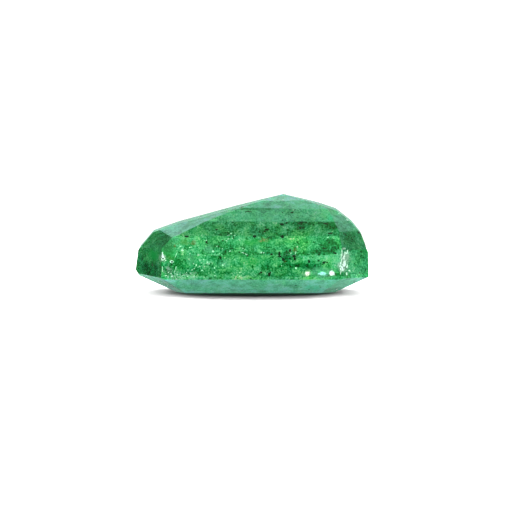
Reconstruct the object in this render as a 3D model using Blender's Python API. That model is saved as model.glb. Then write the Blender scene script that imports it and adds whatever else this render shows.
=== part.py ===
"""A cut emerald: a lopsided step cut, lying on its table with the point up.

The stone is one crystal. It is made as a cutter makes it: a rough block is
ground flat, one facet after another, until only the gem is left. The frame
is in metres with +Z up. The origin is the middle of the stone's outline, on
the table, which lies on the ground. +X runs along the stone.
"""

import math

import bmesh
import bpy
from mathutils import Vector

# Driving dimensions, in millimetres
MM = 0.001
HALF_LENGTH = 6.50
HALF_WIDTH = 4.30
DEPTH = 5.42
CULET_X = 1.76
CULET_Y = 0.10

# Heights of the girdle, the thin upright band round the widest part
GIRDLE_LOW = 0.81
GIRDLE_HIGH = 1.00

# A cut that passes within this of a corner goes through the corner
SNAP = 0.004

# Directions that the sides face, in degrees from +X
FRONT = 270.0
FRONT_RIGHT = 321.0
RIGHT = 0.0
BACK_RIGHT = 41.0
BACK = 90.0
BACK_LEFT = 147.0
LEFT = 180.0
FRONT_LEFT = 210.4

# The edges between the facets of each side, from the table up to the culet.
# Each edge is level: how far out it lies from the origin, and its height.
# A facet is ground between each edge and the next.
FRONT_EDGES = (
    (2.96, 0.0),
    (HALF_WIDTH, GIRDLE_LOW),
    (HALF_WIDTH, GIRDLE_HIGH),
    (4.19, 2.15),
    (3.80, 3.21),
    (3.24, 4.00),
    (2.40, 4.70),
)
BACK_EDGES = (
    (3.05, 0.0),
    (HALF_WIDTH, GIRDLE_LOW),
    (HALF_WIDTH, GIRDLE_HIGH),
    (4.21, 2.06),
    (3.85, 3.10),
    (3.29, 3.90),
    (2.40, 4.62),
    (1.40, 5.05),
)
RIGHT_EDGES = (
    (4.62, 0.0),
    (HALF_LENGTH, 0.88),
    (HALF_LENGTH, 1.20),
    (6.48, 2.25),
    (6.10, 3.24),
    (5.60, 3.86),
    (4.72, 4.56),
    (3.80, 4.88),
)
LEFT_EDGES = (
    (4.20, 0.0),
    (6.27, 0.90),
    (HALF_LENGTH, 1.26),
    (6.36, 2.36),
    (5.52, 3.34),
    (4.20, 3.81),
)
FRONT_RIGHT_EDGES = (
    (4.84, 0.0),
    (6.62, 0.87),
    (6.62, 1.09),
    (6.48, 2.42),
    (6.06, 3.44),
    (5.60, 3.99),
    (4.81, 4.67),
    (3.38, 5.08),
)
BACK_RIGHT_EDGES = (
    (4.95, 0.0),
    (6.60, 0.87),
    (6.60, 1.12),
    (6.46, 2.30),
    (6.04, 3.34),
    (5.52, 3.96),
    (4.74, 4.60),
    (3.46, 5.02),
)
BACK_LEFT_EDGES = (
    (4.95, 0.0),
    (6.54, 0.87),
    (6.54, 1.12),
    (6.42, 2.40),
    (5.62, 3.30),
    (4.40, 3.86),
    (3.05, 4.32),
)
FRONT_LEFT_EDGES = (
    (6.53, 0.80),
    (6.39, 2.52),
    (5.58, 3.30),
)

# Sides whose last facet runs on from the last edge to the culet
SIDES_TO_CULET = (LEFT, RIGHT, BACK)

# Facets ground out of level with the rest of their side: the direction each
# faces, how steeply it leans back from upright, and a point that it cuts to.
SKEW_FACETS = (
    (203.0, -63.0, (-5.05, -HALF_WIDTH, 0.90)),
    (220.5, 64.0, (-4.24, -3.80, 3.21)),
    (224.0, 69.7, (-2.57, -3.24, 4.00)),
    (222.0, 74.0, (-0.67, -2.40, 4.70)),
    (271.6, 66.3, (1.50, -2.40, 4.70)),
)
# The facet at the front that ends at the culet
FRONT_TOP_EDGE = (1.51, 5.09)

GREEN = (0.055, 0.32, 0.13)
EMERALD_IOR = 1.58


def reach_of(point, facing):
    """How far out a point lies in the direction that a side faces."""
    turn = math.radians(facing)
    return point[0] * math.cos(turn) + point[1] * math.sin(turn)


def rough_block():
    """The rough, sawn to the length, width and depth of the gem."""
    mesh = bmesh.new()
    bmesh.ops.create_cube(mesh, size=1.0)
    size = Vector((2 * HALF_LENGTH, 2 * HALF_WIDTH, DEPTH)) * MM
    bmesh.ops.scale(mesh, vec=size, verts=mesh.verts)
    bmesh.ops.translate(mesh, vec=(0.0, 0.0, size.z / 2), verts=mesh.verts)
    return mesh


def grind(mesh, facing, lean, point):
    """Grind one flat facet: all that lies outside of it is taken away."""
    turn = math.radians(facing)
    tip = math.radians(lean)
    outward = Vector((
        math.cos(tip) * math.cos(turn),
        math.cos(tip) * math.sin(turn),
        math.sin(tip),
    ))
    place = Vector(point) * MM
    outside = [v for v in mesh.verts if (v.co - place).dot(outward) > SNAP * MM]
    if not outside:
        return
    cut = bmesh.ops.bisect_plane(
        mesh,
        geom=mesh.verts[:] + mesh.edges[:] + mesh.faces[:],
        dist=SNAP * MM,
        plane_co=place,
        plane_no=outward,
        clear_outer=True,
    )
    rim = [e for e in cut["geom_cut"] if isinstance(e, bmesh.types.BMEdge)]
    bmesh.ops.contextual_create(mesh, geom=[e for e in rim if e.is_boundary])


def grind_between(mesh, facing, lower, upper):
    """Grind the facet that runs between two level edges of one side."""
    lean = math.degrees(math.atan2(lower[0] - upper[0], upper[1] - lower[1]))
    turn = math.radians(facing)
    point = (lower[0] * math.cos(turn), lower[0] * math.sin(turn), lower[1])
    grind(mesh, facing, lean, point)


def grind_side(mesh, facing, edges):
    """Grind all the facets of one side, from the table up."""
    for lower, upper in zip(edges, edges[1:]):
        grind_between(mesh, facing, lower, upper)


def green_beryl():
    """Clear green beryl, cloudy with its garden of inclusions."""
    material = bpy.data.materials.new("green beryl")
    material.use_nodes = True
    shader = material.node_tree.nodes["Principled BSDF"]
    shader.inputs["Base Color"].default_value = (*GREEN, 1.0)
    shader.inputs["Roughness"].default_value = 0.06
    shader.inputs["Metallic"].default_value = 0.0
    shader.inputs["IOR"].default_value = EMERALD_IOR
    shader.inputs["Transmission Weight"].default_value = 0.6
    return material


def cut_stone():
    """Grind the block into the gem, side by side, and finish at the culet."""
    mesh = rough_block()
    sides = (
        (FRONT, FRONT_EDGES),
        (RIGHT, RIGHT_EDGES),
        (LEFT, LEFT_EDGES),
        (FRONT_RIGHT, FRONT_RIGHT_EDGES),
        (BACK_RIGHT, BACK_RIGHT_EDGES),
        (BACK, BACK_EDGES),
        (BACK_LEFT, BACK_LEFT_EDGES),
        (FRONT_LEFT, FRONT_LEFT_EDGES),
    )
    culet = (CULET_X, CULET_Y)
    for facing, edges in sides:
        grind_side(mesh, facing, edges)
        if facing in SIDES_TO_CULET:
            grind_between(mesh, facing, edges[-1], (reach_of(culet, facing), DEPTH))
    grind_between(mesh, FRONT, FRONT_TOP_EDGE, (reach_of(culet, FRONT), DEPTH))
    for facing, lean, point in SKEW_FACETS:
        grind(mesh, facing, lean, point)
    bmesh.ops.recalc_face_normals(mesh, faces=mesh.faces[:])
    return mesh


def main():
    for old in list(bpy.data.objects):
        bpy.data.objects.remove(old, do_unlink=True)
    mesh = cut_stone()
    data = bpy.data.meshes.new("emerald")
    mesh.to_mesh(data)
    mesh.free()
    data.materials.append(green_beryl())
    stone = bpy.data.objects.new("emerald", data)
    bpy.context.scene.collection.objects.link(stone)


main()
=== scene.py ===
import math
import random

import bmesh
import bpy
from mathutils import Matrix, Vector
from mathutils.bvhtree import BVHTree


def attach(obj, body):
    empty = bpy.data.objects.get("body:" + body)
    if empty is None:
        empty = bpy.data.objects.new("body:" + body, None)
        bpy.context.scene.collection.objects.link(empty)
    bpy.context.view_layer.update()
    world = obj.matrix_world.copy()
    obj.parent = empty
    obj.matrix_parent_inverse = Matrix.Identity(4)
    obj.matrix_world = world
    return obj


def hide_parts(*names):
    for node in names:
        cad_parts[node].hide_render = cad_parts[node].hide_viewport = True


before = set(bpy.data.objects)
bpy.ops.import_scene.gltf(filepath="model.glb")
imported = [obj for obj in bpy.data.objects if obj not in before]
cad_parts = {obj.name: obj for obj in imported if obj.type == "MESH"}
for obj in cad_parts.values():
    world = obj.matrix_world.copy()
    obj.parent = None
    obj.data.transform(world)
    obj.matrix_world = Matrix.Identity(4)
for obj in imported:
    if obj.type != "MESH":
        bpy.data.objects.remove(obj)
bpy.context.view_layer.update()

# The camera
# Far off with a long lens, almost level with the stone. The frame is as wide as the
# photograph at the front edge of the stone's table, where PHOTO_AIM is its middle.
MM = 0.001
CAMERA_UP = math.radians(2.5)
CAMERA_FAR = 350 * MM
SENSOR_WIDTH = 36.0
NEAREST_SEEN = 10 * MM
FARTHEST_SEEN = 10.0
PHOTO_PIXELS = 512
PHOTO_PIXEL = 0.0556 * MM
PHOTO_AIM = Vector((0.223, -2.96, 2.07)) * MM

camera = bpy.data.cameras.new("camera")
camera.sensor_width = SENSOR_WIDTH
camera.lens = SENSOR_WIDTH * CAMERA_FAR / (PHOTO_PIXELS * PHOTO_PIXEL)
camera.clip_start = NEAREST_SEEN
camera.clip_end = FARTHEST_SEEN
viewer = bpy.data.objects.new("camera", camera)
to_viewer = Vector((0.0, -math.cos(CAMERA_UP), math.sin(CAMERA_UP)))
viewer.location = PHOTO_AIM + to_viewer * CAMERA_FAR
viewer.rotation_euler = (-to_viewer).to_track_quat("-Z", "Y").to_euler()
bpy.context.scene.collection.objects.link(viewer)
bpy.context.scene.camera = viewer

# The stone
# One crystal of green beryl, ground flat one facet after another and polished. It
# lies on its table. The edges between the facets are a little rounded by wear.
EDGE_WEAR = 0.014 * MM
SAME_PLACE = 0.001 * MM
SAME_PLANE = math.radians(0.3)
SAME_FACET = math.radians(3.0)

# What each facet lets through: the way that it faces in degrees from +X, its lean back
# from upright, how light it is and how milky it is. The lightness is painted light and
# shade: each facet is made as light or as dark as the lamps made it look. The milk of the
# crown and the upper facets is painted sheen.
FACET_LOOKS = (
    (270.0, -58.8, 1.28, 0.95),
    (270.0, 0.0, 1.15, 0.00),
    (270.0, 6.2, 1.05, 0.00),
    (270.0, 20.2, 1.20, 0.00),
    (270.0, 35.3, 0.92, 0.00),
    (270.0, 50.2, 1.36, 0.38),
    (271.6, 66.3, 1.38, 0.78),
    (270.0, 78.0, 1.40, 1.00),
    (203.0, -63.0, 1.20, 0.95),
    (210.4, 4.7, 0.40, 0.00),
    (210.4, 46.1, 0.64, 0.16),
    (220.5, 64.0, 1.08, 0.95),
    (224.0, 69.7, 1.18, 0.95),
    (222.0, 74.0, 1.20, 0.95),
    (321.0, -61.0, 1.05, 0.92),
    (321.0, 0.0, 1.10, 0.00),
    (321.0, 6.0, 0.80, 0.05),
    (321.0, 22.4, 0.55, 0.10),
    (321.0, 39.9, 0.82, 0.50),
    (321.0, 49.3, 0.94, 0.62),
)

# Every other facet has a draw, with painted shade that darkens it towards the back and
# painted light and sheen that make it lighter and milkier on top
OTHER_LIGHT = (0.7, 1.0)
OTHER_MILK = (0.0, 0.3)
PAINTED_BACK_SHADE = 0.46
PAINTED_TOP_LIGHT = 0.28
PAINTED_TOP_SHEEN = 0.6
TOP_FALLOFF = 3


def facing_out(facing, lean):
    """The way out of a facet that faces so and leans back so far from upright."""
    turn = math.radians(facing)
    tip = math.radians(lean)
    return Vector((math.cos(tip) * math.cos(turn), math.cos(tip) * math.sin(turn), math.sin(tip)))


def finish_mesh(name, mesh):
    """Make a mesh an object."""
    data = bpy.data.meshes.new(name)
    mesh.to_mesh(data)
    mesh.free()
    finished = bpy.data.objects.new(name, data)
    bpy.context.scene.collection.objects.link(finished)
    return finished


stone_mesh = bmesh.new()
stone_mesh.from_mesh(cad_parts["emerald"].data)
bmesh.ops.remove_doubles(stone_mesh, verts=stone_mesh.verts, dist=SAME_PLACE)
bmesh.ops.dissolve_limit(
    stone_mesh,
    angle_limit=SAME_PLANE,
    verts=stone_mesh.verts,
    edges=stone_mesh.edges,
)
facet_draws = random.Random(7)
outlook = stone_mesh.faces.layers.float_vector.new("outlook")
tone_and_shading = stone_mesh.faces.layers.float.new("tone_and_shading")
milk_and_sheen = stone_mesh.faces.layers.float.new("milk_and_sheen")
for facet in stone_mesh.faces:
    facet[outlook] = Vector([facet_draws.uniform(-1.0, 1.0) for axis in "xyz"])
    # Painted shade towards the back, painted light and sheen on top
    back = max(facet.normal.y, 0.0)
    up = max(facet.normal.z, 0.0) ** TOP_FALLOFF
    facet[tone_and_shading] = facet_draws.uniform(*OTHER_LIGHT) - PAINTED_BACK_SHADE * back + PAINTED_TOP_LIGHT * up
    facet[milk_and_sheen] = facet_draws.uniform(*OTHER_MILK) + PAINTED_TOP_SHEEN * up
    for facing, lean, light, cloud in FACET_LOOKS:
        if facet.normal.angle(facing_out(facing, lean)) < SAME_FACET:
            facet[tone_and_shading] = light
            facet[milk_and_sheen] = cloud
    facet.smooth = False
stone_skin = BVHTree.FromBMesh(stone_mesh)
bmesh.ops.bevel(
    stone_mesh,
    geom=stone_mesh.edges[:],
    offset=EDGE_WEAR,
    segments=2,
    profile=0.5,
    affect="EDGES",
    material=-1,
    clamp_overlap=True,
)
stone = finish_mesh("stone", stone_mesh)

# Beryl is part clear and part cloudy: light goes through it, spreads in its clouds and
# turns green on the way
BERYL_IOR = 1.58
CLEAR_SHARE = 0.55
POLISH = 0.010
SPREAD_IN_CLOUDS = 1.0 * MM
SPREAD_BY_COLOUR = (0.4, 1.0, 0.6)
SEEN_THROUGH = (0.12, 0.90, 0.45)
SEEN_THROUGH_DENSITY = 150.0


def new_material(name):
    """A material, and its shader."""
    material = bpy.data.materials.new(name)
    material.use_nodes = True
    return material, material.node_tree.nodes["Principled BSDF"]


beryl, shader = new_material("green beryl")
tree = beryl.node_tree
shader.inputs["IOR"].default_value = BERYL_IOR
shader.inputs["Transmission Weight"].default_value = CLEAR_SHARE
shader.inputs["Roughness"].default_value = POLISH
shader.inputs["Metallic"].default_value = 0.0
shader.inputs["Subsurface Weight"].default_value = 1.0
shader.inputs["Subsurface Radius"].default_value = SPREAD_BY_COLOUR
shader.inputs["Subsurface Scale"].default_value = SPREAD_IN_CLOUDS


def node(kind, **settings):
    """Add a node to the tree that is being made."""
    added = tree.nodes.new(kind)
    for name, value in settings.items():
        setattr(added, name, value)
    return added


def put(socket, value):
    """Fill a socket with a number, a colour or another node's output."""
    if isinstance(value, bpy.types.NodeSocket):
        tree.links.new(value, socket)
    elif isinstance(value, tuple) and socket.type == "RGBA":
        socket.default_value = (*value, 1.0)
    else:
        socket.default_value = value


def place_on_object():
    """Where each point is, in the object's own coordinates."""
    return node("ShaderNodeTexCoord").outputs["Object"]


def blend(kind, factor, first, second):
    """Mix two colours."""
    mix = node("ShaderNodeMix", data_type="RGBA", blend_type=kind)
    put(mix.inputs[0], factor)
    put(mix.inputs[6], first)
    put(mix.inputs[7], second)
    return mix.outputs[2]


def stretch(value, low, high, to_low=0.0, to_high=1.0):
    """A smooth step from low to high."""
    step = node("ShaderNodeMapRange", interpolation_type="SMOOTHSTEP")
    put(step.inputs["Value"], value)
    put(step.inputs["From Min"], low)
    put(step.inputs["From Max"], high)
    put(step.inputs["To Min"], to_low)
    put(step.inputs["To Max"], to_high)
    return step.outputs[0]


def count(kind, first, second=0.0):
    """A sum on two numbers."""
    sum_of = node("ShaderNodeMath", operation=kind)
    put(sum_of.inputs[0], first)
    put(sum_of.inputs[1], second)
    return sum_of.outputs[0]


def raised(amount, mask, strength):
    """A number raised so strongly where a mask is, or lowered by a strength under 0."""
    return count("ADD", amount, count("MULTIPLY", mask, strength))


def cover(under, mask, strength, colour):
    """Lay a colour over another where a mask is, so strongly."""
    return blend("MIX", count("MULTIPLY", mask, strength), under, colour)


def vector(kind, first, second, third=(0.0, 0.0, 0.0)):
    """A sum on vectors."""
    sum_of = node("ShaderNodeVectorMath", operation=kind)
    put(sum_of.inputs[0], first)
    put(sum_of.inputs[1], second)
    if kind == "MULTIPLY_ADD":
        put(sum_of.inputs[2], third)
    return sum_of.outputs["Vector"]


def far_out(off_middle, per_axis):
    """How far out each point is, with each axis weighed by its own factor. The sum that
    feeds the length is added before it, or the stone's many zones overfill the shader."""
    weighed = vector("MULTIPLY", off_middle, per_axis)
    size = node("ShaderNodeVectorMath", operation="LENGTH")
    put(size.inputs[0], weighed)
    return size.outputs["Value"]


def noise(where, grain_size, detail=2.0, rough=0.5):
    """Soft noise whose grains are about so big."""
    cloud = node("ShaderNodeTexNoise")
    put(cloud.inputs["Vector"], where)
    put(cloud.inputs["Scale"], 1.0 / grain_size)
    put(cloud.inputs["Detail"], detail)
    put(cloud.inputs["Roughness"], rough)
    return cloud.outputs["Fac"]


def cells(where, size):
    """Shards about so big: how far each point is from the middle of its own, and its draw."""
    shards = node("ShaderNodeTexVoronoi")
    put(shards.inputs["Vector"], where)
    put(shards.inputs["Scale"], 1.0 / size)
    return shards.outputs["Distance"], shards.outputs["Color"]


def dots(where, apart, size):
    """Round dots about so far apart and up to so big, and a draw for each."""
    off_middle, draw = cells(where, apart)
    half = size / apart / 2
    return stretch(off_middle, half * 0.6, half * 1.2, 1.0, 0.0), draw


def threads(where, apart, thin):
    """Fine curling lines, as on a map of heights, drawn where the noise is halfway up."""
    off_line = count("ABSOLUTE", count("SUBTRACT", noise(where, apart, 2.0, 0.6), HALFWAY))
    return stretch(off_line, 0.0, thin, 1.0, 0.0)


# Nothing in the crystal has a straight border, so the patterns are read at places that
# stray. Through each facet the garden looks shifted, as it does by refraction.
HALFWAY = 0.5
STRAY_SIZE = 0.4 * MM
ZONE_STRAY = 0.6 * MM
SHARD_STRAY = 0.25 * MM
FACET_SHIFT = 2 * MM
at = place_on_object()
wander = node("ShaderNodeTexNoise")
put(wander.inputs["Vector"], at)
put(wander.inputs["Scale"], 1.0 / STRAY_SIZE)
put(wander.inputs["Detail"], 3.0)
stray = vector("SUBTRACT", wander.outputs["Color"], (HALFWAY,) * 3)
rough_at = vector("MULTIPLY_ADD", stray, (ZONE_STRAY,) * 3, at)
outlook_in = node("ShaderNodeAttribute", attribute_name="outlook")
seen = vector("MULTIPLY_ADD", outlook_in.outputs["Vector"], (FACET_SHIFT,) * 3, at)
bent = vector("MULTIPLY_ADD", stray, (SHARD_STRAY,) * 3, seen)

# The zones lie round this depth, and reach so far to the front and the back
ZONE_DEPTH = -3.5 * MM
ZONE_REACH = MM / 0.3


def zones(places, where=rough_at):
    """Soft-edged zones in the front half of the stone, each by its middle, x and z, its
    width, its height, in millimetres, and how far out it is solid, from 0 to 1."""
    strongest = 0.0
    for x, z, wide, high, solid in places:
        off_middle = vector("SUBTRACT", where, (x * MM, ZONE_DEPTH, z * MM))
        out = far_out(off_middle, (2 / wide / MM, 1 / ZONE_REACH, 2 / high / MM))
        strongest = count("MAXIMUM", strongest, stretch(out, solid, 1.0, 1.0, 0.0))
    return strongest


# How much light each point of the garden throws back, from 0 to 1: clouds, shards and
# grains of many sizes, one on top of the other
grain = noise(seen, 0.085 * MM, 1.0)
GARDEN_LAYERS = (
    (noise(seen, 1.6 * MM, 1.0), 0.52),
    (noise(seen, 0.70 * MM, 1.0), 0.40),
    (cells(bent, 0.30 * MM)[1], 0.20),
    (cells(bent, 0.14 * MM)[1], 0.22),
    (grain, 0.80),
)
garden = HALFWAY
for pattern, strength in GARDEN_LAYERS:
    garden = raised(garden, count("SUBTRACT", pattern, HALFWAY), strength)

bright_zones = zones((
    (-0.7, 2.9, 1.3, 0.5, 0.3),
    (0.9, 2.9, 2.2, 0.4, 0.2),
    (0.0, 1.84, 1.7, 0.8, 0.4),
    (-0.9, 3.5, 1.0, 0.5, 0.1),
    (2.6, 2.8, 2.2, 1.7, 0.35),
    (2.3, 1.8, 0.9, 0.5, 0.2),
    (-0.4, 0.92, 2.4, 0.4, 0.3),
    (-3.0, 3.0, 2.4, 1.4, 0.1),
    (-2.2, 1.8, 2.8, 1.4, 0.1),
    (4.8, 1.8, 1.0, 1.4, 0.1),
    (0.2, 1.55, 0.7, 0.5, 0.1),
    (1.9, 3.5, 1.3, 0.5, 0.1),
))
dark_zones = zones((
    (-5.8, 1.35, 1.4, 1.0, 0.3),
    (5.6, 3.1, 1.2, 0.8, 0.0),
    (4.3, 2.7, 1.4, 1.2, 0.4),
    (1.7, 2.25, 4.6, 0.26, 0.1),
    (0.9, 1.45, 1.0, 0.8, 0.2),
    (0.4, 1.25, 0.6, 0.3, 0.2),
    (3.2, 1.5, 1.8, 0.4, 0.2),
    (-1.8, 2.0, 0.5, 0.6, 0.2),
    (4.3, 3.7, 1.3, 0.5, 0.3),
    (2.6, 3.95, 2.6, 0.2, 0.2),
    (0.3, 4.77, 3.8, 0.14, 0.2),
    (0.2, 3.5, 1.4, 0.6, 0.1),
    (-2.8, 1.25, 3.6, 0.36, 0.3),
    (-1.2, 1.3, 1.2, 0.3, 0.1),
    (3.6, 2.3, 0.5, 0.4, 0.3),
    (-4.7, 1.45, 0.9, 0.7, 0.1),
    (1.9, 2.05, 1.1, 0.8, 0.1),
))
garden = raised(garden, bright_zones, 0.12)
garden = raised(garden, dark_zones, -0.18)

# Painted refraction: level bands with crisp rims, some lighter and some darker, where the
# facets of the far side show through the near one
painted_light_bands = zones((
    (3.75, 1.98, 2.7, 0.30, 0.75),
    (-2.2, 1.02, 5.8, 0.22, 0.8),
    (-1.0, 3.02, 2.2, 0.22, 0.6),
    (-0.3, 1.93, 2.2, 0.32, 0.7),
), at)
painted_dark_bands = zones((
    (3.6, 2.32, 3.0, 0.34, 0.7),
    (3.0, 1.58, 2.4, 0.30, 0.5),
    (-1.4, 2.28, 2.6, 0.22, 0.5),
    (-0.2, 2.27, 2.4, 0.28, 0.6),
), at)
garden = raised(garden, painted_light_bands, 0.09)
garden = raised(garden, painted_dark_bands, -0.12)

# Along its lowest strip the big facet shows haze by the far side of the rim, painted in
# as a lighter strip: a painted refraction
painted_rim_haze = zones(((0.0, 1.27, 13.2, 0.34, 0.75),))
garden = raised(garden, painted_rim_haze, 0.10)

# Pockets that swallow the light, and sparks and curling threads, where healed cracks
# throw it back, most of all where they lie thick
POCKET_SIZE = 0.17 * MM
POCKET_DARKENS = 0.22
SPARKS_APART = 0.17 * MM
SPARK_SIZE = 0.09 * MM
SPARK_LIGHTENS = 0.55
CURL_SIZE = 0.34 * MM
thick = zones((
    (-2.6, 1.8, 4.4, 2.6, 0.2),
    (-4.4, 1.0, 1.7, 0.7, 0.4),
    (2.6, 2.7, 1.8, 1.8, 0.1),
    (-1.2, 3.2, 1.0, 0.9, 0.2),
    (4.7, 1.6, 1.1, 1.4, 0.2),
))
pockets = stretch(noise(seen, POCKET_SIZE, 2.0, 0.55), 0.30, 0.44, POCKET_DARKENS, 0.0)
garden = count("SUBTRACT", garden, pockets)
spark, spark_draw = dots(seen, SPARKS_APART, SPARK_SIZE)
spark = count("MULTIPLY", spark, stretch(spark_draw, 0.45, 0.75, 0.0, SPARK_LIGHTENS))
garden = raised(garden, spark, stretch(thick, 0.0, 1.0, 0.3, 1.0))
curl = count("MULTIPLY", threads(bent, CURL_SIZE, 0.03), stretch(grain, 0.42, 0.58))
garden = raised(garden, curl, stretch(thick, 0.0, 1.0, 0.08, 0.22))

GARDEN_GREENS = (
    (0.00, (0.000, 0.035, 0.006)),
    (0.20, (0.001, 0.14, 0.024)),
    (0.35, (0.006, 0.30, 0.075)),
    (0.50, (0.038, 0.50, 0.165)),
    (0.62, (0.098, 0.68, 0.265)),
    (0.80, (0.22, 0.90, 0.42)),
    (1.00, (0.62, 0.97, 0.74)),
)
greens = node("ShaderNodeValToRGB")
put(greens.inputs["Fac"], garden)
stops = greens.color_ramp.elements
while len(stops) < len(GARDEN_GREENS):
    stops.new(1.0)
for stop, (place, colour) in zip(stops, GARDEN_GREENS):
    stop.position = place
    stop.color = (*colour, 1.0)
body = greens.outputs["Color"]

# Greens of other hues: warmer in patches that don't follow the clouds, lime in some
# zones, vivid and olive in others
WARM = (1.12, 1.0, 0.80)
LIME = (1.08, 1.12, 0.86)
VIVID = (0.016, 0.50, 0.075)
OLIVE = (0.10, 0.40, 0.07)
ELSEWHERE = (20 * MM, 0.0, 0.0)
warmth = stretch(noise(vector("ADD", seen, ELSEWHERE), 0.6 * MM, 1.0), 0.40, 0.62)
body = blend("MULTIPLY", warmth, body, WARM)
lime = zones((
    (2.6, 2.9, 2.2, 1.9, 0.2),
    (-0.4, 0.92, 2.4, 0.4, 0.3),
    (3.4, 0.85, 2.8, 0.3, 0.4),
))
body = blend("MULTIPLY", lime, body, LIME)
vivid = zones((
    (-5.4, 2.2, 0.9, 0.7, 0.3),
    (-4.6, 2.35, 1.2, 0.9, 0.4),
    (0.3, 2.9, 3.4, 0.4, 0.3),
    (0.0, 1.84, 1.7, 0.8, 0.2),
))
body = cover(body, vivid, 0.6, VIVID)
olive = zones((
    (-3.75, 2.85, 1.2, 0.45, 0.2),
    (-4.5, 2.0, 0.7, 0.4, 0.0),
))
body = cover(body, olive, 0.6, OLIVE)

# Milky facets show level veils in place of the garden. Some milk is a random draw; on the
# crown and the upper facets it is painted sheen, the white that they mirror.
MILK_AND_SHEEN = (0.28, 0.98, 0.70)
VEILS_FLAT = (0.6, 0.6, 1.4)
milk_and_sheen_in = node("ShaderNodeAttribute", attribute_name="milk_and_sheen")
streak = noise(vector("MULTIPLY", seen, VEILS_FLAT), 0.30 * MM, 4.0, 0.75)
veils = stretch(streak, 0.35, 0.65, 0.55, 1.05)
veils = count("MULTIPLY", veils, stretch(grain, 0.3, 0.7, 0.8, 1.1))
patchy = stretch(noise(seen, 0.9 * MM, 2.0), 0.32, 0.60, 0.55, 1.0)
body = cover(body, milk_and_sheen_in.outputs["Fac"], patchy, blend("MULTIPLY", 1.0, MILK_AND_SHEEN, veils))

# Cream haze by the grazed edge and in wisps at the left, murk by the left corner, and
# rust and a pink stain that have crept into the cracks. The grain breaks them up.
HAZY = (0.22, 0.76, 0.45)
MURKY = (0.028, 0.22, 0.070)
RUSTY = (0.12, 0.15, 0.018)
PINK = (0.36, 0.24, 0.12)
haze = zones((
    (4.95, 1.90, 1.5, 1.3, 0.1),
    (3.9, 1.35, 2.6, 0.55, 0.0),
    (3.4, 2.1, 4.6, 0.07, 0.5),
    (-2.4, 2.5, 1.0, 0.9, 0.0),
    (-3.5, 1.95, 1.3, 0.7, 0.0),
    (-1.5, 1.7, 1.0, 0.7, 0.0),
    (-4.4, 3.1, 0.9, 0.4, 0.1),
    (3.3, 1.10, 2.4, 0.30, 0.3),
))
body = cover(body, haze, 0.45, HAZY)
murk = zones((
    (-4.70, 2.70, 1.3, 1.5, 0.3),
    (-4.6, 1.30, 0.8, 0.8, 0.1),
))
body = cover(body, murk, stretch(grain, 0.35, 0.65, 0.90, 0.55), MURKY)
rust = zones((
    (-3.24, 2.84, 0.50, 0.50, 0.6),
    (-4.2, 2.71, 0.24, 0.28, 0.4),
    (2.1, 2.38, 0.18, 0.3, 0.2),
    (2.4, 2.5, 0.3, 0.4, 0.0),
    (1.75, 1.86, 0.22, 0.24, 0.3),
    (-0.6, 4.77, 0.4, 0.16, 0.2),
))
body = cover(body, rust, stretch(grain, 0.35, 0.6, 0.95, 0.6), RUSTY)
stain = zones(((0.60, 2.98, 0.9, 0.30, 0.3),))
body = cover(body, stain, stretch(grain, 0.4, 0.6, 0.2, 0.75), PINK)

# Frost under the two grazed edges, wisps of cracks low at the left, and an icy tint in
# two places, under the right end of the rim and high at the right
FROSTY = (0.62, 0.88, 0.72)
WISPY = (0.52, 0.88, 0.68)
ICY = (0.06, 0.90, 0.45)
WISP_SIZE = 0.22 * MM
frost_under = zones((
    (5.15, 1.95, 0.8, 1.2, 0.1),
    (5.0, 1.55, 0.9, 0.9, 0.1),
    (-4.95, 1.95, 0.6, 0.6, 0.2),
))
body = cover(body, frost_under, stretch(grain, 0.3, 0.6, 0.25, 0.95), FROSTY)
wispy = zones((
    (-3.95, 1.0, 2.4, 0.7, 0.5),
    (-4.7, 1.4, 0.8, 0.9, 0.1),
))
wisps = count("MULTIPLY", threads(bent, WISP_SIZE, 0.08), wispy)
body = cover(body, wisps, 0.75, WISPY)
icy = zones((
    (3.4, 0.27, 1.5, 0.44, 0.2),
    (4.4, 4.2, 0.7, 0.5, 0.1),
))
body = cover(body, icy, stretch(grain, 0.35, 0.65, 0.25, 0.6), ICY)

# Each facet has its own tone, which is painted light and shade, with a random draw on the
# facets that aren't listed, and the left corner is deep green behind it
DEEP = (0.006, 0.32, 0.065)
tone_and_shading_in = node("ShaderNodeAttribute", attribute_name="tone_and_shading")
body = blend("MULTIPLY", 1.0, body, tone_and_shading_in.outputs["Fac"])
deep = zones(((-5.5, 2.15, 1.1, 0.85, 0.3),))
body = cover(body, deep, 0.5, DEEP)

# Painted shade: dark lines laid on where the edges of the upper facets show dark
PAINTED_EDGE_SHADE = (0.012, 0.17, 0.045)
painted_dark_edges = zones((
    (0.1, 4.66, 4.6, 0.13, 0.5),
    (1.4, 5.03, 2.6, 0.09, 0.4),
    (3.9, 3.93, 2.6, 0.14, 0.4),
), at)
body = cover(body, painted_dark_edges, stretch(streak, 0.3, 0.6, 0.75, 0.25), PAINTED_EDGE_SHADE)

# Little of its green falls on the paper round it
SHARE_ON_PAPER = (0.15, 0.15, 0.15)
on_paper = node("ShaderNodeLightPath").outputs["Is Diffuse Ray"]
put(shader.inputs["Base Color"], blend("MULTIPLY", on_paper, body, SHARE_ON_PAPER))

absorb = node("ShaderNodeVolumeAbsorption")
put(absorb.inputs["Color"], SEEN_THROUGH)
put(absorb.inputs["Density"], SEEN_THROUGH_DENSITY)
put(tree.nodes["Material Output"].inputs["Volume"], absorb.outputs[0])

stone.data.materials.append(beryl)
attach(stone, "root")
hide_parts("emerald")

# The dark flecks
# Flakes of black and brown mica that the crystal grew around. Where a facet cuts
# through them they lie flush with it, and the others lie just under the polish.
FLAKE_THICK = 0.03 * MM
FLUSH = 0.004 * MM
FLAKE_CORNERS = (6, 9)
RAGGED = (0.7, 1.15)
TOP_SHRINKS = 0.8

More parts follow.
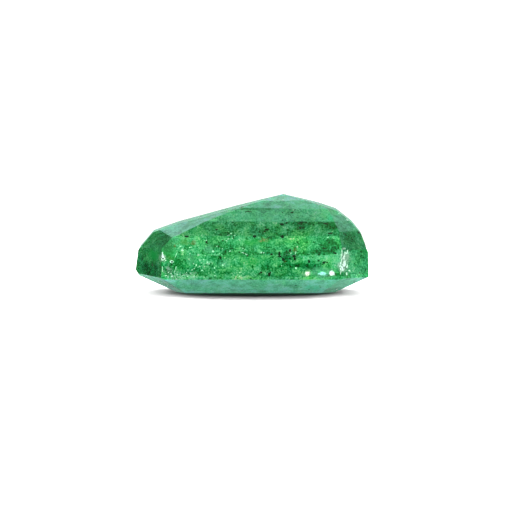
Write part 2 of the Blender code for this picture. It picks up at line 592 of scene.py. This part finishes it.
# Where each flake shows in the photograph, in its pixels, and its width and height in
# millimetres
MICA_FLECKS = (
    (163.0, 258.4, 0.08, 0.08), (171.9, 261.8, 0.12, 0.12), (262.1, 253.0, 0.05, 0.05),
    (187.0, 236.6, 0.20, 0.12), (206.5, 242.4, 0.12, 0.14), (152.6, 264.8, 0.11, 0.16),
    (138.8, 263.0, 0.06, 0.10), (147.5, 254.1, 0.10, 0.07), (160.8, 267.0, 0.12, 0.10),
    (216.4, 229.7, 0.14, 0.10), (241.6, 207.2, 0.20, 0.08), (248.4, 211.4, 0.26, 0.09),
    (225.8, 209.2, 0.14, 0.07), (267.0, 229.6, 0.24, 0.16), (264.6, 231.4, 0.12, 0.10),
    (282.2, 236.6, 0.18, 0.18), (287.5, 234.8, 0.07, 0.07), (281.6, 224.2, 0.24, 0.14),
    (286.8, 222.8, 0.12, 0.10), (254.4, 236.3, 0.18, 0.14), (279.3, 253.8, 0.14, 0.30),
    (280.2, 256.6, 0.12, 0.10), (283.2, 259.4, 0.15, 0.22), (294.0, 256.0, 0.17, 0.15),
    (294.9, 259.0, 0.15, 0.19), (290.0, 250.5, 0.14, 0.17), (289.9, 258.7, 0.12, 0.10),
    (269.2, 274.6, 0.12, 0.26), (270.3, 272.5, 0.09, 0.10), (261.2, 272.6, 0.16, 0.10),
    (220.6, 258.0, 0.12, 0.20), (247.4, 255.8, 0.09, 0.07), (222.9, 240.6, 0.10, 0.08),
    (271.6, 254.4, 0.12, 0.12), (292.0, 212.5, 0.20, 0.10), (282.4, 212.6, 0.07, 0.07),
    (282.5, 220.2, 0.10, 0.07), (299.0, 223.6, 0.12, 0.08), (300.2, 228.4, 0.12, 0.14),
    (297.8, 229.2, 0.10, 0.10), (325.5, 223.7, 0.26, 0.08), (330.6, 233.4, 0.24, 0.12),
    (343.8, 233.6, 0.08, 0.08), (358.8, 232.8, 0.12, 0.12), (308.9, 261.6, 0.14, 0.16),
    (318.7, 260.8, 0.12, 0.10), (323.8, 262.8, 0.16, 0.14), (326.8, 262.4, 0.12, 0.08),
    (335.2, 253.2, 0.20, 0.12), (359.6, 272.8, 0.08, 0.11), (362.2, 273.7, 0.09, 0.08),
    (300.9, 287.2, 0.12, 0.05), (309.0, 289.6, 0.10, 0.05), (320.7, 287.3, 0.08, 0.05),
    (295.9, 285.4, 0.12, 0.05),
)
FLECK_SPREAD = 1.3
FLECK_TOP = 2 * FLUSH

# Crumbs lie beside the bigger flakes: their number, how far off they lie, their width
# and height in millimetres and their turn in degrees
BIG_FLECK = 0.13
CRUMBS = 2
CRUMB_STRAY = 0.6
CRUMB_WIDE = 0.10
CRUMB_HIGH = 0.08
CRUMB_TURN = 30.0

# More flakes lie anywhere, clear of the edges: few are cut through, none of them in
# front. Their widths are in millimetres and their heights are a share of that.
HIDDEN_FLECKS = 260
HIDDEN_WIDTHS = (0.05, 0.20)
HIDDEN_HEIGHTS = (0.5, 1.0)
HIDDEN_CUT_THROUGH = 0.3
SHALLOWEST_FLECK = 0.1 * MM
DEEPEST_FLECK = 0.5 * MM
IN_FRONT = -0.3
CLEAR_OF_EDGE = 0.13 * MM
ALIKE = 0.9999
HEART_HEIGHT = 2.2 * MM


def under_pixel(across, down):
    """The place on the stone under a pixel of the photograph, and the way out of its facet."""
    right = Vector((1.0, 0.0, 0.0))
    up = right.cross(-to_viewer)
    middle = PHOTO_PIXELS / 2
    target = PHOTO_AIM + (right * (across - middle) + up * (middle - down)) * PHOTO_PIXEL
    sight = (target - viewer.location).normalized()
    return stone_skin.ray_cast(viewer.location, sight)[:2]


def anywhere(draws):
    """A place on the stone, off its table, and the way out of its facet."""
    heart = Vector((0.0, 0.0, HEART_HEIGHT))
    while True:
        way = Vector([draws.gauss(0.0, 1.0) for axis in "xyz"]).normalized()
        place, way_out = stone_skin.ray_cast(heart, way)[:2]
        side = way_out.orthogonal().normalized() * CLEAR_OF_EDGE
        turns = [Matrix.Rotation(math.radians(turn), 3, way_out) for turn in (0, 90, 180, 270)]
        rim = [stone_skin.find_nearest(place + turned @ side)[1] for turned in turns]
        if place.z > CLEAR_OF_EDGE and all(out.dot(way_out) > ALIKE for out in rim):
            return place, way_out


def lay_flake(mesh, draws, place, way_out, wide, high, turn=0.0, top=FLUSH):
    """Add one flat flake with a ragged rim to a mesh, lying along a facet. Its width and
    height are in millimetres, it is turned by so many degrees, and its top is so far out."""
    corners = draws.randint(*FLAKE_CORNERS)
    flake = bmesh.ops.create_circle(mesh, cap_ends=True, segments=corners, radius=0.5)["verts"]
    for point in flake:
        point.co *= draws.uniform(*RAGGED)
    along = Vector((1.0, 0.0, 0.0)) if abs(way_out.x) < 0.8 else Vector((0.0, 1.0, 0.0))
    across = (along - way_out * along.dot(way_out)).normalized()
    lie = Matrix((across, way_out.cross(across), way_out)).transposed().to_4x4()
    size = Matrix.Diagonal((wide * MM, high * MM, 1.0, 1.0))
    shape = Matrix.Rotation(math.radians(turn), 4, "Z") @ size
    sunk = Matrix.Translation(place + way_out * (top - FLAKE_THICK))
    bmesh.ops.transform(mesh, matrix=sunk @ lie @ shape, verts=flake)
    faces = list({face for point in flake for face in point.link_faces})
    grown = bmesh.ops.extrude_face_region(mesh, geom=faces)["geom"]
    upper = [part for part in grown if isinstance(part, bmesh.types.BMVert)]
    bmesh.ops.translate(mesh, vec=way_out * FLAKE_THICK, verts=upper)
    middle = Matrix.Translation(-(place + way_out * top))
    bmesh.ops.scale(mesh, vec=(TOP_SHRINKS,) * 3, space=middle, verts=upper)


fleck_draws = random.Random(21)
fleck_mesh = bmesh.new()
for across, down, wide, high in MICA_FLECKS:
    place, way_out = under_pixel(across, down)
    broad = FLECK_SPREAD * wide
    tall = FLECK_SPREAD * high
    lay_flake(fleck_mesh, fleck_draws, place, way_out, broad, tall, top=FLECK_TOP)
    if max(wide, high) > BIG_FLECK:
        for crumb in range(CRUMBS):
            stray_by = [fleck_draws.uniform(-CRUMB_STRAY, CRUMB_STRAY) for axis in "xyz"]
            off = Vector([share * size * MM for share, size in zip(stray_by, (wide, 0.0, high))])
            beside = place + off - way_out * off.dot(way_out)
            lay_flake(
                fleck_mesh, fleck_draws, beside, way_out,
                CRUMB_WIDE, CRUMB_HIGH, CRUMB_TURN, FLECK_TOP,
            )
for fleck in range(HIDDEN_FLECKS):
    place, way_out = anywhere(fleck_draws)
    wide = fleck_draws.uniform(*HIDDEN_WIDTHS)
    high = wide * fleck_draws.uniform(*HIDDEN_HEIGHTS)
    cut_through = fleck_draws.random() < HIDDEN_CUT_THROUGH and way_out.y > IN_FRONT
    top = FLUSH if cut_through else -fleck_draws.uniform(SHALLOWEST_FLECK, DEEPEST_FLECK)
    turn = fleck_draws.uniform(0.0, 180.0)
    lay_flake(fleck_mesh, fleck_draws, place, way_out, wide, high, turn, top)
bmesh.ops.recalc_face_normals(fleck_mesh, faces=fleck_mesh.faces)
flecks = finish_mesh("mica_flecks", fleck_mesh)

# Patchiness that both the mica and the healed cracks have: fine scales and broad changes
mottle = bpy.data.node_groups.new("mottle", "ShaderNodeTree")
for name in ("Fine Size", "Broad Size"):
    mottle.interface.new_socket(name, in_out="INPUT", socket_type="NodeSocketFloat")
for name in ("Fine", "Broad"):
    mottle.interface.new_socket(name, in_out="OUTPUT", socket_type="NodeSocketFloat")
tree = mottle
given = node("NodeGroupInput")
results = node("NodeGroupOutput")
for name, low, high in (("Fine", 0.35, 0.65), ("Broad", 0.4, 0.6)):
    patches = node("ShaderNodeTexNoise")
    put(patches.inputs["Vector"], place_on_object())
    put(patches.inputs["Scale"], count("DIVIDE", 1.0, given.outputs[name + " Size"]))
    put(results.inputs[name], stretch(patches.outputs["Fac"], low, high))


def mottled(fine_size, broad_size):
    """Fine and broad patchiness, in patches about so big."""
    patchiness = node("ShaderNodeGroup", node_tree=mottle)
    patchiness.inputs["Fine Size"].default_value = fine_size
    patchiness.inputs["Broad Size"].default_value = broad_size
    return patchiness.outputs["Fine"], patchiness.outputs["Broad"]


MICA_BLACK = (0.001, 0.006, 0.004)
MICA_BROWN = (0.008, 0.010, 0.003)
MICA_SCALES = (0.006, 0.022, 0.010)
MICA_SHINE = 0.06
MICA_ROUGHNESS = (0.35, 0.6)
mica, shader = new_material("mica")
tree = mica.node_tree
fine, broad = mottled(0.06 * MM, 1.3 * MM)
dull = blend("MIX", broad, MICA_BLACK, MICA_BROWN)
put(shader.inputs["Base Color"], blend("MIX", fine, dull, MICA_SCALES))
shader.inputs["Specular IOR Level"].default_value = MICA_SHINE
put(shader.inputs["Roughness"], stretch(fine, 0.0, 1.0, *MICA_ROUGHNESS))
flecks.data.materials.append(mica)
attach(flecks, "root")

# The white glints
# Healed cracks, air-filled tubes and grazes on the edges, which throw back the light
# nearly white. They lie flush with the polish, as the flecks do.
# Where each shows in the photograph, in its pixels, its width and height in millimetres
# and how far it is turned, in degrees
GLINTS = (
    (162.5, 253.2, 0.08, 0.20, 0), (162.6, 255.2, 0.13, 0.22, 0), (162.9, 257.0, 0.18, 0.16, 0),
    (161.6, 258.7, 0.09, 0.14, 0), (164.4, 258.8, 0.10, 0.15, 0), (163.0, 259.9, 0.19, 0.05, 0),
    (171.8, 261.5, 0.28, 0.23, 0), (165.7, 260.4, 0.10, 0.06, -20), (176.2, 254.6, 0.045, 0.42, -22),
    (162.6, 268.8, 0.03, 0.50, 0), (175.9, 268.0, 0.05, 0.30, -8), (174.6, 271.6, 0.05, 0.22, -25),
    (182.2, 250.3, 0.20, 0.13, -25), (180.4, 246.4, 0.13, 0.07, 0), (189.6, 247.5, 0.12, 0.07, 0),
    (206.4, 240.3, 0.09, 0.06, 0), (213.0, 251.4, 0.16, 0.13, 0), (229.9, 251.2, 0.16, 0.06, 25),
    (231.0, 233.6, 0.13, 0.10, 0), (229.0, 235.2, 0.07, 0.07, 0), (234.6, 235.6, 0.11, 0.05, 0),
    (228.6, 238.8, 0.13, 0.05, 30), (226.5, 240.8, 0.16, 0.05, -40), (232.6, 238.2, 0.07, 0.06, 0),
    (242.6, 248.3, 0.16, 0.05, -20), (244.6, 249.8, 0.10, 0.04, 0), (242.9, 252.7, 0.24, 0.05, -18),
    (246.2, 254.2, 0.20, 0.045, -20), (261.4, 252.6, 0.15, 0.13, 0), (263.8, 252.7, 0.08, 0.09, 0),
    (222.8, 265.2, 0.13, 0.12, 0), (214.6, 267.9, 0.12, 0.10, 0), (214.4, 272.3, 0.08, 0.05, 0),
    (214.8, 275.6, 0.15, 0.05, 0), (196.2, 265.0, 0.09, 0.20, -15), (192.2, 269.9, 0.09, 0.09, 0),
    (201.9, 270.3, 0.17, 0.06, 0), (207.4, 262.3, 0.15, 0.08, -30), (239.7, 272.6, 0.08, 0.07, 0),
    (239.6, 276.5, 0.08, 0.09, 0), (295.8, 268.2, 0.11, 0.15, 0), (295.6, 253.0, 0.04, 0.32, -12),
    (290.9, 253.2, 0.08, 0.10, 0), (281.6, 265.8, 0.06, 0.08, 0), (327.9, 237.4, 0.14, 0.07, 0),
    (347.4, 220.0, 0.16, 0.10, 0), (339.0, 213.6, 0.10, 0.07, 0), (293.3, 210.0, 0.09, 0.07, 0),
    (168.5, 272.3, 0.16, 0.045, 45), (171.2, 273.8, 0.13, 0.045, -30), (166.0, 275.6, 0.20, 0.05, 10),
    (172.0, 276.4, 0.20, 0.06, 20), (177.5, 274.4, 0.16, 0.06, 0), (186.5, 272.6, 0.12, 0.04, 40),
    (190.6, 273.4, 0.14, 0.04, -35), (194.2, 276.0, 0.06, 0.14, -30), (187.5, 276.4, 0.14, 0.05, 15),
    (182.8, 275.2, 0.10, 0.05, 0), (203.6, 259.6, 0.14, 0.06, 20), (205.2, 255.6, 0.10, 0.05, -30),
    (346.5, 273.5, 0.07, 0.20, 0), (349.3, 270.5, 0.12, 0.10, 40), (217.0, 246.2, 0.10, 0.05, 20),
    (222.4, 248.8, 0.08, 0.05, 0),
)
# The grazed edge at the right, where the front meets the corner. Each graze is a bundle
# of streaks, and their sizes are a share of its own.
GRAZES = (
    (344.0, 248.8, 0.15, 0.10), (342.0, 252.4, 0.06, 0.36), (346.3, 252.3, 0.18, 0.18),
    (344.8, 257.0, 0.16, 0.42), (344.4, 261.0, 0.14, 0.36), (341.6, 258.0, 0.07, 0.40),
    (342.8, 264.0, 0.30, 0.34), (346.3, 265.8, 0.16, 0.20), (341.9, 268.0, 0.22, 0.30),
    (340.8, 271.8, 0.09, 0.28), (344.6, 263.0, 0.16, 0.26), (349.4, 271.0, 0.10, 0.10),
    (346.8, 273.6, 0.06, 0.16),
)
STREAKS = 8
STREAK_STRAY = 0.5
STREAK_WIDTHS = (0.2, 0.45)
STREAK_HEIGHTS = (0.4, 0.8)
STREAK_TURNS = (-14.0, 8.0)
# More glints lie anywhere but in front
HIDDEN_GLINTS = 100
HIDDEN_GLINT_WIDTHS = (0.05, 0.18)
HIDDEN_GLINT_HEIGHT = 0.06

glint_draws = random.Random(5)
glint_mesh = bmesh.new()
for across, down, wide, high, turn in GLINTS:
    place, way_out = under_pixel(across, down)
    lay_flake(glint_mesh, glint_draws, place, way_out, wide, high, turn)
for across, down, wide, high in GRAZES:
    for one_streak in range(STREAKS):
        shift = glint_draws.uniform(-STREAK_STRAY, STREAK_STRAY) * wide * MM / PHOTO_PIXEL
        drop = glint_draws.uniform(-STREAK_STRAY, STREAK_STRAY) * high * MM / PHOTO_PIXEL
        place, way_out = under_pixel(across + shift, down + drop)
        thin = wide * glint_draws.uniform(*STREAK_WIDTHS)
        tall = high * glint_draws.uniform(*STREAK_HEIGHTS)
        turn = glint_draws.uniform(*STREAK_TURNS)
        lay_flake(glint_mesh, glint_draws, place, way_out, thin, tall, turn)
for glint in range(HIDDEN_GLINTS):
    place, way_out = anywhere(glint_draws)
    wide = glint_draws.uniform(*HIDDEN_GLINT_WIDTHS)
    if way_out.y > IN_FRONT:
        turn = glint_draws.uniform(0.0, 180.0)
        lay_flake(glint_mesh, glint_draws, place, way_out, wide, HIDDEN_GLINT_HEIGHT, turn)
bmesh.ops.recalc_face_normals(glint_mesh, faces=glint_mesh.faces)
glints = finish_mesh("crack_glints", glint_mesh)

# The cracks take on the green round them, but for those near the ends of the stone
MINT = (0.37, 0.84, 0.56)
PALE_MINT = (0.44, 0.84, 0.58)
END_WHITE = (0.66, 0.88, 0.77)
CRACK_SHADE = (0.72, 0.82, 0.76)
CRACK_ROUGHNESS = (0.4, 0.7)
WHITE_FROM = 4.3 * MM
WHITE_BY = 4.8 * MM
ALONG_STONE = (1.0, 0.0, 0.0)
frost, shader = new_material("healed crack")
tree = frost.node_tree
fine, broad = mottled(0.05 * MM, 1.1 * MM)
mint = blend("MIX", broad, MINT, PALE_MINT)
near_end = stretch(far_out(place_on_object(), ALONG_STONE), WHITE_FROM, WHITE_BY)
whitened = blend("MIX", near_end, mint, END_WHITE)
put(shader.inputs["Base Color"], blend("MULTIPLY", fine, whitened, CRACK_SHADE))
put(shader.inputs["Roughness"], stretch(fine, 0.0, 1.0, *CRACK_ROUGHNESS))
glints.data.materials.append(frost)
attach(glints, "root")

# The floor
# A square of white paper, a hair lower than the stone. The photograph's shadow is dark
# under the stone and soon fades out past it, and so does a painted shadow on the paper:
# its colour is darker in an oval round the stone and lighter past it.
PAPER_HALF = 60 * MM
PAPER_LOWER = 0.01 * MM
PAPER_GREY = (0.54, 0.54, 0.54)
SHADE_UNDER_STONE = 0.88
SHADE_PAST_STONE = 1.6
SHADE_FROM = 3.6 * MM
SHADE_BY = 5.6 * MM
SHADE_OVAL = (1.0, 0.35, 0.0)

floor_mesh = bmesh.new()
bmesh.ops.create_grid(floor_mesh, x_segments=1, y_segments=1, size=PAPER_HALF)
bmesh.ops.translate(floor_mesh, vec=(0.0, 0.0, -PAPER_LOWER), verts=floor_mesh.verts)
floor = finish_mesh("floor", floor_mesh)

# The light that it throws on the stone is white. Mirrored in a facet it is dim and green,
# as paper in the stone's own shadow is: a painted reflection. To every ray but the
# camera's the paper also glows, though it is no lamp.
PAPER_BOUNCED = (0.9, 0.9, 0.9)
PAPER_MIRRORED = (0.072, 0.10, 0.088)
PAPER_GLOW = 0.30
GLOW_WHITE = (1.0, 1.0, 1.0)
GLOW_MIRRORED = (0.72, 1.0, 0.88)
paper, shader = new_material("white paper")
tree = paper.node_tree
rays = node("ShaderNodeLightPath")
bounced = rays.outputs["Is Diffuse Ray"]
looked_at = rays.outputs["Is Camera Ray"]
mirrored = count("SUBTRACT", count("SUBTRACT", 1.0, bounced), looked_at)
# Painted shadow: darker paper round the stone, lighter past it
off_stone = far_out(place_on_object(), SHADE_OVAL)
painted_shadow = stretch(off_stone, SHADE_FROM, SHADE_BY, SHADE_UNDER_STONE, SHADE_PAST_STONE)
unmirrored = blend("MIX", bounced, blend("MULTIPLY", 1.0, PAPER_GREY, painted_shadow), PAPER_BOUNCED)
put(shader.inputs["Base Color"], blend("MIX", mirrored, unmirrored, PAPER_MIRRORED))
shader.inputs["Roughness"].default_value = 1.0
shader.inputs["Specular IOR Level"].default_value = 0.0
# Painted light: the paper glows, white to matt things and green in mirrors
put(shader.inputs["Emission Color"], blend("MIX", mirrored, GLOW_WHITE, GLOW_MIRRORED))
put(shader.inputs["Emission Strength"], stretch(looked_at, 0.0, 1.0, PAPER_GLOW, 0.0))
floor.data.materials.append(paper)

# The lamps
# A long soft box hangs behind the stone, so that its shadow falls forward. The paper has
# to come out white, so it takes more of that light than the stone does. Two small boxes
# light the sides, and a low strip in front lights the facets.
MIDDLE = (0.0, 0.0, 0.0)
REAR_PLACE = (0.0, 190 * MM, 100 * MM)
REAR_SIZE = (420 * MM, 95 * MM)
REAR_ON_PAPER = 3.9
REAR_ON_STONE = 1.8
SIDE_OUT = 190 * MM
SIDE_BACK = 110 * MM
SIDE_UP = 90 * MM
SIDE_SIZE = (80 * MM, 60 * MM)
SIDE_POWER = 0.55
STRIP_PLACE = (-20 * MM, -300 * MM, 12 * MM)
STRIP_AIM = (0.0, 0.0, 2 * MM)
STRIP_SIZE = (300 * MM, 22 * MM)
STRIP_POWER = 0.96


def soft_box(name, place, aim, size, power):
    """Hang up a lamp of some width and height that shines towards a point, itself unseen."""
    lamp = bpy.data.lights.new(name, "AREA")
    lamp.shape = "RECTANGLE"
    lamp.size, lamp.size_y = size
    lamp.energy = power
    holder = bpy.data.objects.new(name, lamp)
    holder.location = place
    holder.rotation_euler = (Vector(aim) - Vector(place)).to_track_quat("-Z", "Y").to_euler()
    holder.visible_glossy = False
    holder.visible_transmission = False
    bpy.context.scene.collection.objects.link(holder)
    return holder


def light_only(lamp, name, lit):
    """Let a lamp light nothing but these."""
    group = bpy.data.collections.new(name)
    for thing in lit:
        group.objects.link(thing)
    lamp.light_linking.receiver_collection = group


key = soft_box("key", REAR_PLACE, MIDDLE, REAR_SIZE, REAR_ON_PAPER)
light_only(key, "lit by the key", (floor,))
rear = soft_box("rear light", REAR_PLACE, MIDDLE, REAR_SIZE, REAR_ON_STONE)
light_only(rear, "lit from the rear", (stone, flecks, glints))
for name, side in (("left", -SIDE_OUT), ("right", SIDE_OUT)):
    soft_box(name, (side, SIDE_BACK, SIDE_UP), MIDDLE, SIDE_SIZE, SIDE_POWER)
fill = soft_box("low fill", STRIP_PLACE, STRIP_AIM, STRIP_SIZE, STRIP_POWER)
light_only(fill, "lit by the low fill", (stone, flecks, glints))

# Two round lamps and a window show as small bright spots low on the big facet. Each is in
# line with its spot: its pixel in the photograph, its width and height in millimetres, its
# colour and its power
MIRROR_LAMPS = (
    ("lamp", 307.4, 273.4, 0.24, 0.24, (1.0, 0.92, 0.84), 1.2e-5),
    ("far lamp", 331.8, 273.2, 0.26, 0.26, (0.82, 1.0, 0.95), 1.6e-5),
    ("window", 322.4, 273.8, 0.40, 0.17, (0.45, 1.0, 0.95), 1.4e-5),
)
MIRROR_LAMP_FAR = 300 * MM
for name, across, down, wide, high, tint, power in MIRROR_LAMPS:
    place, way_out = under_pixel(across, down)
    away = (place - viewer.location).normalized().reflect(way_out)
    size = (2 * wide * MM, 2 * high * MM)
    lamp = soft_box(name, place + away * MIRROR_LAMP_FAR, place, size, power)
    lamp.data.shape = "ELLIPSE"
    lamp.data.color = tint
    lamp.visible_glossy = True
    lamp.visible_diffuse = False

# The room
# White to the camera. What the facets mirror is lighter behind the stone than in front of
# it, dims towards both ends and is greenish low down. It lights matt things only a little.
ROOM_SEEN = 1.2
ROOM_ON_MATT = 0.08
BACK_LOW = 0.62
BACK_HIGH = 0.50
FRONT_LOW = 0.08
FRONT_HIGH = 0.30
LEFT_END = 0.12
RIGHT_END = 0.35
ROOM_WHITE = (1.0, 1.0, 1.0)
ROOM_LOW_GREEN = (0.55, 1.0, 0.78)

world = bpy.data.worlds.new("white room")
world.use_nodes = True
bpy.context.scene.world = world
tree = world.node_tree
split = node("ShaderNodeSeparateXYZ")
put(split.inputs[0], node("ShaderNodeTexCoord").outputs["Generated"])
to_right, to_back, upwards = split.outputs
behind = stretch(to_back, -0.2, 0.2)
from_back = count("MULTIPLY", behind, stretch(upwards, 0.06, 0.34, BACK_LOW, BACK_HIGH))
in_front = count("SUBTRACT", 1.0, behind)
from_front = count("MULTIPLY", in_front, stretch(upwards, 0.10, 0.40, FRONT_LOW, FRONT_HIGH))
glow = count("ADD", from_back, from_front)
glow = count("MULTIPLY", glow, stretch(to_right, -0.42, -0.28, LEFT_END, 1.0))
glow = count("MULTIPLY", glow, stretch(to_right, 0.70, 0.85, 1.0, RIGHT_END))
rays = node("ShaderNodeLightPath")
looked_at = rays.outputs["Is Camera Ray"]
on_matt = stretch(rays.outputs["Is Diffuse Ray"], 0.0, 1.0, 1.0, ROOM_ON_MATT)
strength = node("ShaderNodeMix", data_type="FLOAT")
put(strength.inputs["Factor"], looked_at)
put(strength.inputs["A"], count("MULTIPLY", glow, on_matt))
put(strength.inputs["B"], ROOM_SEEN)
put(tree.nodes["Background"].inputs["Strength"], strength.outputs[0])
low_down = stretch(upwards, 0.05, 0.3, 1.0, 0.0)
low_green = count("MULTIPLY", low_down, count("SUBTRACT", 1.0, looked_at))
put(tree.nodes["Background"].inputs["Color"], blend("MIX", low_green, ROOM_WHITE, ROOM_LOW_GREEN))
bpy.context.scene.view_settings.view_transform = "Standard"
